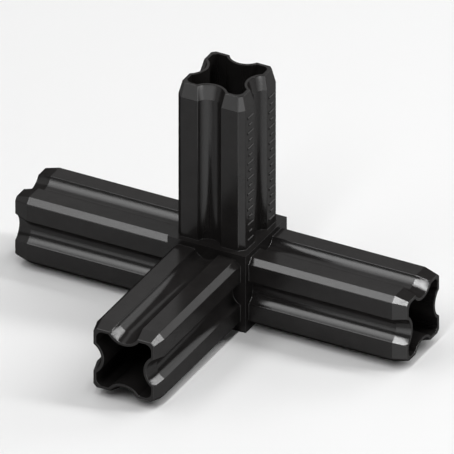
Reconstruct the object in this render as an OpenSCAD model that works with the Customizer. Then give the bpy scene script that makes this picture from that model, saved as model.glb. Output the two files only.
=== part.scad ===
// Four-way connector for square tube: a plain cube with four hollow legs that plug into the tube ends.
// Origin at the centre of the cube's bottom face, which it rests on. One leg points up (+Z),
// one to each side (-X and +X) and one to the front (-Y). The back and the bottom have no leg.
// Millimetres.

/* [Hub] */
// Side of the cube, flush with the outside of the square tube
hub_side = 25; // [24:0.5:30]

/* [Legs] */
// Length of a leg, from the cube's face to its tip
leg_len = 50; // [30:1:80]
// Width of a leg across its flats, a loose push fit inside the tube
leg_w = 21.5; // [20:0.1:22.5]
// Size of the flat chamfer along each corner of a leg
leg_chamfer = 1.65; // [1.2:0.05:2.2]

/* [Grooves] */
// Radius of the round groove along each side of a leg
groove_r = 4; // [3.5:0.1:4.5]
// Depth of the groove below the flats
groove_depth = 2.5; // [1.8:0.1:3]

/* [Tip] */
// Length of the lead-in taper at the tip of a leg
tip_len = 4.3; // [2:0.1:8]
// How far the whole outline draws in over the taper
tip_inset = 1.1; // [0.6:0.1:1.3]

/* [Core] */
// Wall between the outline of a leg and its hollow core
wall = 2; // [1.6:0.1:2.3]
// Corner radius of the hollow core
core_r = 2; // [1.2:0.1:2.2]
// Thickness of plastic left between the hollow cores of neighbouring legs
core_web = 2.5; // [2:0.1:3.5]

/* [Hidden] */
$fn = 96;

// Distance of a leg's flats, of a groove's centre line and of the tip from the middle of the cube
flat_at = leg_w / 2;
groove_at = flat_at + groove_r - groove_depth;
tip_at = hub_side / 2 + leg_len;
taper_at = tip_at - tip_len;

// Distance of a chamfer from the axis of a leg
chamfer_at = (2 * flat_at - leg_chamfer) / sqrt(2);

// The hollow core: half its width, and how near its floor comes to the middle of the cube
core_half = flat_at - wall;
core_floor = core_half + core_web;

// Lean of the tapered faces, and how far cutting tools run past what they cut
tip_angle = atan2(tip_inset, tip_len);
over = 1;

// Turns that bring the upright leg to each place that has one
LEG_TURNS = [
    [0, 0, 0],
    [0, 90, 0],
    [0, -90, 0],
    [90, 0, 0]
];

// Square with a flat chamfer at each corner
module chamfered_square(half, chamfer) {
    inner = half - chamfer;
    polygon([
        [half, -inner], [half, inner], [inner, half], [-inner, half],
        [-half, inner], [-half, -inner], [-inner, -half], [inner, -half]
    ]);
}

// Square with round corners
module round_square(half, r) {
    square([2 * half, 2 * (half - r)], center = true);
    square([2 * (half - r), 2 * half], center = true);
    for (x = [-1, 1], y = [-1, 1])
        translate([x * (half - r), y * (half - r)])
            circle(r);
}

// Places its children on each of the four sides of an upright leg
module each_side() {
    for (turn = [0:90:270])
        rotate([0, 0, turn])
            children();
}

// Groove cutter for one side: a straight round bar that flares over the taper
module groove_cutter() {
    flare = tip_inset * (1 + over / tip_len);
    translate([groove_at, 0, 0])
        rotate_extrude()
            polygon([
                [0, 0],
                [groove_r, 0],
                [groove_r, taper_at],
                [groove_r + flare, tip_at + over],
                [0, tip_at + over]
            ]);
}

// Block that shaves one flat face of the tip, starting reach away from the axis
module taper_cutter(reach) {
    translate([reach, 0, taper_at])
        rotate([0, -tip_angle, 0])
            translate([0, -leg_w, 0])
                cube([leg_w, 2 * leg_w, 2 * tip_len]);
}

// Upright leg, solid, from the middle of the cube to its tip
module leg() {
    difference() {
        linear_extrude(tip_at)
            chamfered_square(flat_at, leg_chamfer);
        each_side() {
            groove_cutter();
            taper_cutter(flat_at);
            rotate([0, 0, 45])
                taper_cutter(chamfer_at);
        }
    }
}

// Hollow core of the upright leg: round lobes in the corners, and a round ridge behind each groove
module core() {
    translate([0, 0, core_floor])
        linear_extrude(tip_at - core_floor + over)
            difference() {
                round_square(core_half, core_r);
                each_side()
                    translate([groove_at, 0])
                        circle(groove_r + wall);
            }
}

// Turns its children from the upright leg to every leg
module each_leg() {
    for (turn = LEG_TURNS)
        rotate(turn)
            children();
}

// The whole moulding, standing on the bottom of its cube
module connector() {
    color("#26262a")
        translate([0, 0, hub_side / 2])
            difference() {
                union() {
                    cube(hub_side, center = true);
                    each_leg() leg();
                }
                each_leg() core();
            }
}

connector();
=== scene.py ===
import math

import bmesh
import bpy
from mathutils import Matrix, Vector


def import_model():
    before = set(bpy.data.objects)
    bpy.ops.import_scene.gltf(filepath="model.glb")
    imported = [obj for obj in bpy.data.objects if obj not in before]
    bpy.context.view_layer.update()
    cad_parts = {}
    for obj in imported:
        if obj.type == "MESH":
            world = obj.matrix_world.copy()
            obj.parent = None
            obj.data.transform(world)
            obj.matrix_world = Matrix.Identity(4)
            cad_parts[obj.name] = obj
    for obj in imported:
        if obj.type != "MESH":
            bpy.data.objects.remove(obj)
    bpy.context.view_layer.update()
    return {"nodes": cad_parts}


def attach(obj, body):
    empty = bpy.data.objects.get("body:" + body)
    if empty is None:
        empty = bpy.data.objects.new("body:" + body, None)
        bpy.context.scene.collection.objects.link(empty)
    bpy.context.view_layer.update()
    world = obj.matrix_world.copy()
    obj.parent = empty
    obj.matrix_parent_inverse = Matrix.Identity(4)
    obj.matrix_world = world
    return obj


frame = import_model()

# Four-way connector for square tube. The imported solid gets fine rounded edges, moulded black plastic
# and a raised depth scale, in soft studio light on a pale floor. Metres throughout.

MM = 0.001

# Sizes repeated from the part's source
HUB_SIDE = 25 * MM
LEG_W = 21.5 * MM

# Camera: a parallel view, turned and raised as in the photograph. It aims a little left of and above
# the middle of the cube.
CAMERA_TURN = math.radians(27.834)
CAMERA_RISE = math.radians(30.93)
VIEW_WIDTH = 127.9 * MM
AIM_LEFT = 0.045 * MM
AIM_UP = 10.55 * MM
CAMERA_DISTANCE = 0.5
CLIP_START = 0.01

# Softboxes: name, direction from the object, the way it lies, its length and width, and its strength.
# A small lamp lights a surface that faces it at the plain level when its strength is pi.
LAMP_TARGET = (0, -10 * MM, HUB_SIDE)
LAMP_DISTANCE = 1.0
LAMPS = (
    ("key", (0.13, -0.36, 0.93), (0, 1, 0), 1.12, 0.09, 1.54),
    ("left", (-0.40, -0.36, 0.84), (0, 1, 0), 1.14, 0.27, 0.84),
    ("right", (0.58, 0.31, 0.75), (1, 0, -1), 0.92, 0.11, 1.68),
    ("back", (0.40, 0.77, 0.47), (1, 0, -1), 0.84, 0.26, 0.72),
    ("back_left", (-0.38, 0.50, 0.78), (0, 1, -1), 0.90, 0.40, 0.40),
    ("far_left", (-0.79, -0.20, 0.55), (0, 1, 0), 0.66, 0.34, 0.22),
    ("low", (0.88, -0.45, 0.18), (1, 1, 0), 0.34, 0.30, 0.16),
)

# Faint even light from all round
AMBIENT = 0.10

# Stage: a pale floor, lit round the object. Further out it turns into the plain background of low
# views, and so does the low wall at its edge.
FLOOR_TONE = 0.78
BACKGROUND_TONE = 0.90
LIT_RADIUS = 0.2
PLAIN_RADIUS = 0.6
STAGE_RADIUS = 1.9
STAGE_SEGMENTS = 96
WALL_BOTTOM = -0.5
WALL_TOP = 0.25

# Black plastic: the two blacks and the two roughnesses that it wavers between
DEEP_BLACK = (0.0120, 0.0111, 0.0109, 1)
SOFT_BLACK = (0.0158, 0.0147, 0.0144, 1)
ROUGHNESS = (0.17, 0.21)
REFRACTIVE_INDEX = 1.5

# Specular level of the plastic, from a face seen straight on (0) to one seen edge on (1). The grain
# shadows itself at a low angle, so the surface shines less there.
SHINE = ((0.08, 0.95), (0.15, 0.54), (0.22, 0.21), (0.40, 0.14), (0.60, 0.03), (0.72, 0.0))
EVEN_BLEND = 0.5

# Its unevenness: the size and detail of each noise texture, and the strength and height of each bump
TINT_NOISE = (5 * MM, 4)
GLOSS_NOISE = (0.9 * MM, 3)
FLOW_NOISE = (7 * MM, 1)
FLOW_BUMP = (0.15, 0.02 * MM)
GRAIN_NOISE = (0.25 * MM, 2)
GRAIN_BUMP = (0.5, 0.016 * MM)

# The range that most values of a noise texture lie in
NOISE_RANGE = (0.3, 0.7)

# Edges of the moulding: sharp ones get a fine radius, and the blunt ones where the tips begin stay
# crisp lines. Flatter ones, such as those along the grooves, are shaded smooth.
WELD_REACH = 0.001 * MM
FLAT_WITHIN = math.radians(0.5)
BLUNT_FROM = math.radians(10)
SHARP_FROM = math.radians(30)
EDGE_WIDTH = 0.14 * MM
EDGE_SEGMENTS = 2
LARGE_FACE_WEIGHT = 100

# Depth scale on the upright leg: where it runs, and the size of its raised ticks. Their sides rise
# steeply over a low foot and then slope in to the crest.
SCALE_START = 27.5 * MM
SCALE_STEP = 2.5 * MM
SCALE_TICKS = 17
SCALE_COLUMNS = (-6.4 * MM, 6.4 * MM)
LONG_TICK = 3.4 * MM
SHORT_TICK = 1.9 * MM
TICK_THICK = 0.80 * MM
TICK_PROUD = 0.24 * MM
TICK_SLOPE = 0.24 * MM
FOOT_PROUD = 0.3 * TICK_PROUD
FOOT_SLOPE = 0.1 * TICK_SLOPE
TICK_ROOT = 0.1 * MM


def noise(tree, place, size, detail):
    """Value of a noise texture whose blots are about the given size."""
    node = tree.nodes.new("ShaderNodeTexNoise")
    node.inputs["Scale"].default_value = 1 / size
    node.inputs["Detail"].default_value = detail
    tree.links.new(place, node.inputs["Vector"])
    return node.outputs["Fac"]


def spread(tree, value, low, high):
    """Stretches a noise value to run from low to high."""
    node = tree.nodes.new("ShaderNodeMapRange")
    node.inputs["From Min"].default_value = NOISE_RANGE[0]
    node.inputs["From Max"].default_value = NOISE_RANGE[1]
    node.inputs["To Min"].default_value = low
    node.inputs["To Max"].default_value = high
    tree.links.new(value, node.inputs["Value"])
    return node.outputs["Result"]


def bump(tree, value, strength, height):
    """Bump node that raises the surface by a noise value."""
    node = tree.nodes.new("ShaderNodeBump")
    node.inputs["Strength"].default_value = strength
    node.inputs["Distance"].default_value = height
    tree.links.new(value, node.inputs["Height"])
    return node


def shine_by_angle(tree):
    """Specular level that falls from a face seen straight on to one seen edge on."""
    facing = tree.nodes.new("ShaderNodeLayerWeight")
    facing.inputs["Blend"].default_value = EVEN_BLEND
    curve = tree.nodes.new("ShaderNodeValToRGB")
    stops = curve.color_ramp.elements
    stops.remove(stops[1])
    for number, (angle, level) in enumerate(SHINE):
        stop = stops.new(angle) if number else stops[0]
        stop.position = angle
        stop.color = (level, level, level, 1)
    tree.links.new(facing.outputs["Facing"], curve.inputs["Fac"])
    return curve.outputs["Color"]


def black_plastic(material):
    """Satin black moulded plastic with a fine grain, faint flow and slightly uneven colour and gloss."""
    material.use_nodes = True
    tree = material.node_tree
    tree.nodes.clear()
    link = tree.links.new
    place = tree.nodes.new("ShaderNodeTexCoord").outputs["Object"]
    shader = tree.nodes.new("ShaderNodeBsdfPrincipled")
    shader.inputs["IOR"].default_value = REFRACTIVE_INDEX
    out = tree.nodes.new("ShaderNodeOutputMaterial")
    link(shader.outputs["BSDF"], out.inputs["Surface"])

    tint = tree.nodes.new("ShaderNodeMix")
    tint.data_type = "RGBA"
    tint.inputs["A"].default_value = DEEP_BLACK
    tint.inputs["B"].default_value = SOFT_BLACK
    link(spread(tree, noise(tree, place, *TINT_NOISE), 0, 1), tint.inputs["Factor"])
    link(tint.outputs["Result"], shader.inputs["Base Color"])

    link(spread(tree, noise(tree, place, *GLOSS_NOISE), *ROUGHNESS), shader.inputs["Roughness"])
    link(shine_by_angle(tree), shader.inputs["Specular IOR Level"])

    flow = bump(tree, noise(tree, place, *FLOW_NOISE), *FLOW_BUMP)
    grain = bump(tree, noise(tree, place, *GRAIN_NOISE), *GRAIN_BUMP)
    link(flow.outputs["Normal"], grain.inputs["Normal"])
    link(grain.outputs["Normal"], shader.inputs["Normal"])


def seen_directly(tree):
    """1 where the camera sees a surface, also in a reflection, and 0 for the light that it throws."""
    rays = tree.nodes.new("ShaderNodeLightPath")
    seen = rays.outputs["Is Camera Ray"]
    for kind in ("Is Glossy Ray", "Is Transmission Ray"):
        either = tree.nodes.new("ShaderNodeMath")
        either.operation = "MAXIMUM"
        tree.links.new(seen, either.inputs[0])
        tree.links.new(rays.outputs[kind], either.inputs[1])
        seen = either.outputs["Value"]
    return seen


def far_from_object(tree):
    """0 on the lit floor round the object, rising to 1 further out."""
    place = tree.nodes.new("ShaderNodeTexCoord").outputs["Object"]
    distance = tree.nodes.new("ShaderNodeVectorMath")
    distance.operation = "LENGTH"
    tree.links.new(place, distance.inputs[0])
    fade = tree.nodes.new("ShaderNodeMapRange")
    fade.interpolation_type = "SMOOTHSTEP"
    fade.inputs["From Min"].default_value = LIT_RADIUS
    fade.inputs["From Max"].default_value = PLAIN_RADIUS
    tree.links.new(distance.outputs["Value"], fade.inputs["Value"])
    return fade.outputs["Result"]


def pale_paper():
    """Plain pale paper: lit and shadowed near the object, one even tone further out."""
    material = bpy.data.materials.new("pale_paper")
    material.use_nodes = True
    tree = material.node_tree
    tree.nodes.clear()
    link = tree.links.new
    lit = tree.nodes.new("ShaderNodeBsdfDiffuse")
    lit.inputs["Color"].default_value = (FLOOR_TONE, FLOOR_TONE, FLOOR_TONE, 1)
    plain = tree.nodes.new("ShaderNodeEmission")
    plain.inputs["Color"].default_value = (BACKGROUND_TONE, BACKGROUND_TONE, BACKGROUND_TONE, 1)
    link(seen_directly(tree), plain.inputs["Strength"])
    mix = tree.nodes.new("ShaderNodeMixShader")
    link(far_from_object(tree), mix.inputs["Fac"])
    link(lit.outputs["BSDF"], mix.inputs[1])
    link(plain.outputs["Emission"], mix.inputs[2])
    out = tree.nodes.new("ShaderNodeOutputMaterial")
    link(mix.outputs["Shader"], out.inputs["Surface"])
    return material


def new_object(name, bm, material):
    """Turns a finished bmesh into an object of the scene."""
    mesh = bpy.data.meshes.new(name)
    bm.to_mesh(mesh)
    bm.free()
    mesh.materials.append(material)
    piece = bpy.data.objects.new(name, mesh)
    bpy.context.scene.collection.objects.link(piece)
    return piece


def blunt_edges(tree):
    """Picks the edges that are blunt, neither nearly flat nor sharp."""
    angle = tree.nodes.new("GeometryNodeInputMeshEdgeAngle").outputs["Unsigned Angle"]
    both = tree.nodes.new("FunctionNodeBooleanMath")
    both.operation = "AND"
    for i, (operation, limit) in enumerate((("GREATER_THAN", BLUNT_FROM), ("LESS_THAN", SHARP_FROM))):
        test = tree.nodes.new("FunctionNodeCompare")
        test.data_type = "FLOAT"
        test.operation = operation
        test.inputs["B"].default_value = limit
        tree.links.new(angle, test.inputs["A"])
        tree.links.new(test.outputs["Result"], both.inputs[i])
    return both.outputs["Boolean"]


def crisp_creases():
    """Geometry nodes that shade the blunt edges as crisp lines, and change no shape."""
    tree = bpy.data.node_groups.new("crisp_creases", "GeometryNodeTree")
    tree.interface.new_socket("Geometry", in_out="INPUT", socket_type="NodeSocketGeometry")
    tree.interface.new_socket("Geometry", in_out="OUTPUT", socket_type="NodeSocketGeometry")
    start = tree.nodes.new("NodeGroupInput")
    end = tree.nodes.new("NodeGroupOutput")
    shade = tree.nodes.new("GeometryNodeSetShadeSmooth")
    shade.domain = "EDGE"
    shade.inputs["Shade Smooth"].default_value = False
    tree.links.new(blunt_edges(tree), shade.inputs["Selection"])
    tree.links.new(start.outputs[0], shade.inputs[0])
    tree.links.new(shade.outputs[0], end.inputs[0])
    return tree


def finish_edges(piece):
    """Joins the mesh's triangles into faces, rounds the sharp edges and keeps the blunt ones crisp."""
    weld = piece.modifiers.new("weld", "WELD")
    weld.merge_threshold = WELD_REACH
    flat = piece.modifiers.new("flat_faces", "DECIMATE")
    flat.decimate_type = "DISSOLVE"
    flat.angle_limit = FLAT_WITHIN
    creases = piece.modifiers.new("creases", "NODES")
    creases.node_group = crisp_creases()
    bevel = piece.modifiers.new("edge_radius", "BEVEL")
    bevel.limit_method = "ANGLE"
    bevel.angle_limit = SHARP_FROM
    bevel.width = EDGE_WIDTH
    bevel.segments = EDGE_SEGMENTS
    bevel.use_clamp_overlap = False
    normals = piece.modifiers.new("face_normals", "WEIGHTED_NORMAL")
    normals.keep_sharp = True
    normals.weight = LARGE_FACE_WEIGHT


def add_tick(bm, y, z, length):
    """One raised tick on the upright leg's right face, from just under the face up to the crest."""
    face = LEG_W / 2
    levels = (
        (face - TICK_ROOT, 0),
        (face + FOOT_PROUD, FOOT_SLOPE),
        (face + TICK_PROUD, TICK_SLOPE),
    )
    rings = []
    for x, draw_in in levels:
        dy = length / 2 - draw_in
        dz = TICK_THICK / 2 - draw_in
        corners = ((-dy, -dz), (dy, -dz), (dy, dz), (-dy, dz))
        rings.append([bm.verts.new((x, y + cy, z + cz)) for cy, cz in corners])
    for low, high in zip(rings, rings[1:]):
        for i in range(4):
            j = (i + 1) % 4
            bm.faces.new((low[i], low[j], high[j], high[i]))
    bm.faces.new(rings[-1])
    bm.faces.new(rings[0][::-1])


def depth_scale(material):
    """Two columns of long and short ticks, one on each side of the groove."""
    bm = bmesh.new()
    for y in SCALE_COLUMNS:
        for i in range(SCALE_TICKS):
            add_tick(bm, y, SCALE_START + i * SCALE_STEP, SHORT_TICK if i % 2 else LONG_TICK)
    piece = new_object("depth_scale", bm, material)
    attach(piece, "root")


def stage():
    """The floor, and the low wall round it."""
    paper = pale_paper()
    floor = bmesh.new()
    bmesh.ops.create_circle(floor, cap_ends=True, segments=STAGE_SEGMENTS, radius=STAGE_RADIUS)
    wall = bmesh.new()
    bmesh.ops.create_cone(
        wall,
        segments=STAGE_SEGMENTS,
        radius1=STAGE_RADIUS,
        radius2=STAGE_RADIUS,
        depth=WALL_TOP - WALL_BOTTOM,
        matrix=Matrix.Translation((0, 0, (WALL_TOP + WALL_BOTTOM) / 2)),
    )
    new_object("floor", floor, paper)
    new_object("wall", wall, paper)


def place_facing(item, right, up, back, place):
    """Puts a camera or lamp in the scene, looking away from back."""
    turn = Matrix((right, up, back)).transposed().to_4x4()
    item.matrix_world = Matrix.Translation(place) @ turn
    bpy.context.scene.collection.objects.link(item)


def camera():
    right = Vector((math.cos(CAMERA_TURN), math.sin(CAMERA_TURN), 0))
    back = Vector((
        math.sin(CAMERA_TURN) * math.cos(CAMERA_RISE),
        -math.cos(CAMERA_TURN) * math.cos(CAMERA_RISE),
        math.sin(CAMERA_RISE),
    ))
    up = back.cross(right)
    aim = Vector((0, 0, HUB_SIDE / 2)) - AIM_LEFT * right + AIM_UP * up
    data = bpy.data.cameras.new("camera")
    data.type = "ORTHO"
    data.ortho_scale = VIEW_WIDTH
    data.clip_start = CLIP_START
    eye = bpy.data.objects.new("camera", data)
    place_facing(eye, right, up, back, aim + CAMERA_DISTANCE * back)
    bpy.context.scene.camera = eye


def lamps():
    for name, direction, lie, length, width, strength in LAMPS:
        data = bpy.data.lights.new(name, "AREA")
        data.shape = "RECTANGLE"
        data.size = length
        data.size_y = width
        data.energy = strength * math.pi * LAMP_DISTANCE ** 2
        back = Vector(direction).normalized()
        side = (Vector(lie) - back.dot(Vector(lie)) * back).normalized()
        place = Vector(LAMP_TARGET) + LAMP_DISTANCE * back
        place_facing(bpy.data.objects.new(name, data), side, back.cross(side), back, place)


def world():
    sky = bpy.data.worlds.new("studio")
    bpy.context.scene.world = sky
    sky.use_nodes = True
    shade = sky.node_tree.nodes["Background"]
    shade.inputs["Color"].default_value = (1, 1, 1, 1)
    shade.inputs["Strength"].default_value = AMBIENT


connector = frame["nodes"]["connector"]
plastic = connector.data.materials[0]
black_plastic(plastic)
finish_edges(connector)
depth_scale(plastic)
stage()
camera()
lamps()
world()
bpy.context.scene.view_settings.view_transform = "Standard"

bpy.context.view_layer.update()
